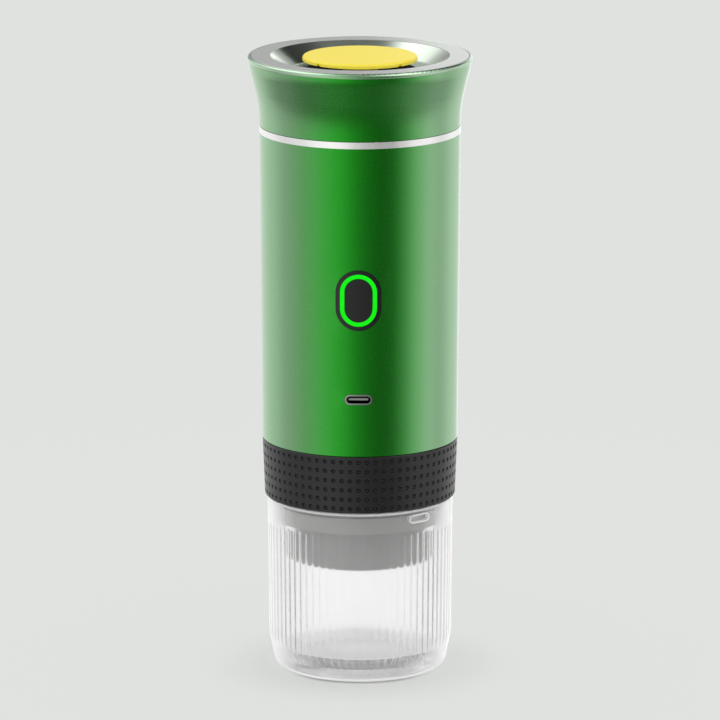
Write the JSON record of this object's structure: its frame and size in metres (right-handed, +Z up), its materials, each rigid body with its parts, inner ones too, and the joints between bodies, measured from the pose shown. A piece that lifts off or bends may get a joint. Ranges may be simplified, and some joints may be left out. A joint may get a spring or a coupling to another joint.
{
  "type": "portable coffee maker",
  "caption": "Slim battery coffee maker: flared screw lid with vent button, metal sleeve with lit pill button and charging socket, dimpled brew head and clear fluted cup.",
  "frame": {"origin": "centre of the cup's underside, on the surface that it stands on", "axes": "+Z up along the axis of the object, -Y towards the button and the charging socket"},
  "size_m": [0.078, 0.078, 0.2179],
  "materials": {
    "clear_cup": "clear, polished",
    "head_grey": "fine satin",
    "grip_black": "matte with dimples",
    "seal_grey": "matte silicone",
    "basket_steel": "brushed",
    "sleeve_green": "satin anodised",
    "trim_bright": "polished",
    "inner_black": "moulded",
    "inner_white": "moulded",
    "screw_steel": "plated",
    "pump_white": "moulded",
    "coil_copper": "enamelled winding",
    "spring_steel": "drawn wire",
    "hose_clear": "translucent silicone",
    "cell_wrap": "shrink wrapped",
    "contact_nickel": "plated",
    "board_green": "lacquered",
    "switch_black": "moulded",
    "lamp_white": "clear",
    "socket_steel": "bright",
    "button_black": "satin",
    "light_green": "lit diffuser",
    "tank_steel": "satin",
    "rim_metal": "satin ring, polished dish and edge",
    "vent_yellow": "satin"
  },
  "bodies": {
    "cup": {"cup": "clear_cup"},
    "brew_head": {"brew_head_shell": "head_grey", "grip_sleeve": "grip_black", "cup_seal": "seal_grey", "outlet_funnel": "head_grey"},
    "basket": {"filter_basket": "basket_steel", "filter_screen": "basket_steel"},
    "gasket": {"head_gasket": "seal_grey"},
    "power_button": {"power_button": "button_black", "switch_plunger": "switch_black"},
    "plunger": {"pump_plunger": "spring_steel"},
    "lid_seal": {"lid_seal": "seal_grey"},
    "lid": {"lid_shell": "sleeve_green", "lid_rim_plate": "rim_metal", "lid_plug": "inner_white", "vent_spring": "spring_steel"},
    "vent": {"vent_button": "vent_yellow", "vent_stem": "spring_steel", "vent_seal": "seal_grey"},
    "machine_body": {"body_sleeve": "sleeve_green", "trim_ring": "trim_bright", "base_housing": "inner_black", "shower_plate": "basket_steel", "shower_screws": "screw_steel", "pump_housing": "pump_white", "pump_coil": "coil_copper", "pump_spring": "spring_steel", "outlet_valve": "seal_grey", "suction_hose": "hose_clear", "tank_outlet": "tank_steel", "battery_holder_lower": "inner_black", "battery_holder_upper": "inner_black", "holder_pillars": "inner_black", "pillar_screws": "screw_steel", "battery_cells": "cell_wrap", "cell_contacts": "contact_nickel", "main_board": "board_green", "tact_switch": "switch_black", "status_leds": "lamp_white", "usb_socket": "socket_steel", "usb_tongue": "inner_white", "button_bezel": "button_black", "light_ring": "light_green", "water_tank": "tank_steel", "tank_jacket": "inner_white", "tank_collar": "inner_white", "tank_seal": "seal_grey", "heater_plate": "tank_steel", "thermostat": "inner_white"}
  },
  "joints": [
    {"name": "head_off_cup", "type": "slide", "parent": "cup", "child": "brew_head", "axis": [0, 0, 1], "range_m": [0, 0.06]},
    {"name": "basket_lift", "type": "slide", "parent": "brew_head", "child": "basket", "axis": [0, 0, 1], "range_m": [0, 0.018]},
    {"name": "body_rise", "type": "slide", "parent": "brew_head", "child": "gasket", "axis": [0, 0, 1], "range_m": [0, 0.036]},
    {"name": "body_turn", "type": "hinge", "parent": "gasket", "child": "machine_body", "pos_m": [0, 0, 0.0828], "axis": [0, 0, 1], "range_deg": [0, 360]},
    {"name": "lid_rise", "type": "slide", "parent": "machine_body", "child": "lid_seal", "axis": [0, 0, 1], "range_m": [0, 0.03]},
    {"name": "lid_turn", "type": "hinge", "parent": "lid_seal", "child": "lid", "pos_m": [0, 0, 0.1937], "axis": [0, 0, 1], "range_deg": [0, 360]},
    {"name": "vent_press", "type": "slide", "parent": "lid", "child": "vent", "axis": [0, 0, -1], "range_m": [0, 0.0024], "stiffness_N_per_m": 900, "springref_m": -0.002, "deforming": ["vent_spring"]},
    {"name": "power_press", "type": "slide", "parent": "machine_body", "child": "power_button", "axis": [0, 1, 0], "range_m": [0, 0.0006], "stiffness_N_per_m": 2500, "springref_m": -0.0003},
    {"name": "pump_stroke", "type": "slide", "parent": "machine_body", "child": "plunger", "axis": [0, 0, -1], "range_m": [0, 0.004], "stiffness_N_per_m": 1500, "springref_m": -0.001, "deforming": ["pump_spring"]}
  ],
  "couplings": [
    {"joint": "body_rise", "follows": "body_turn", "m_per_rad": 0.0057295},
    {"joint": "basket_lift", "follows": "body_turn", "m_per_rad": 0.0028647},
    {"joint": "lid_rise", "follows": "lid_turn", "m_per_rad": 0.0047746}
  ]
}
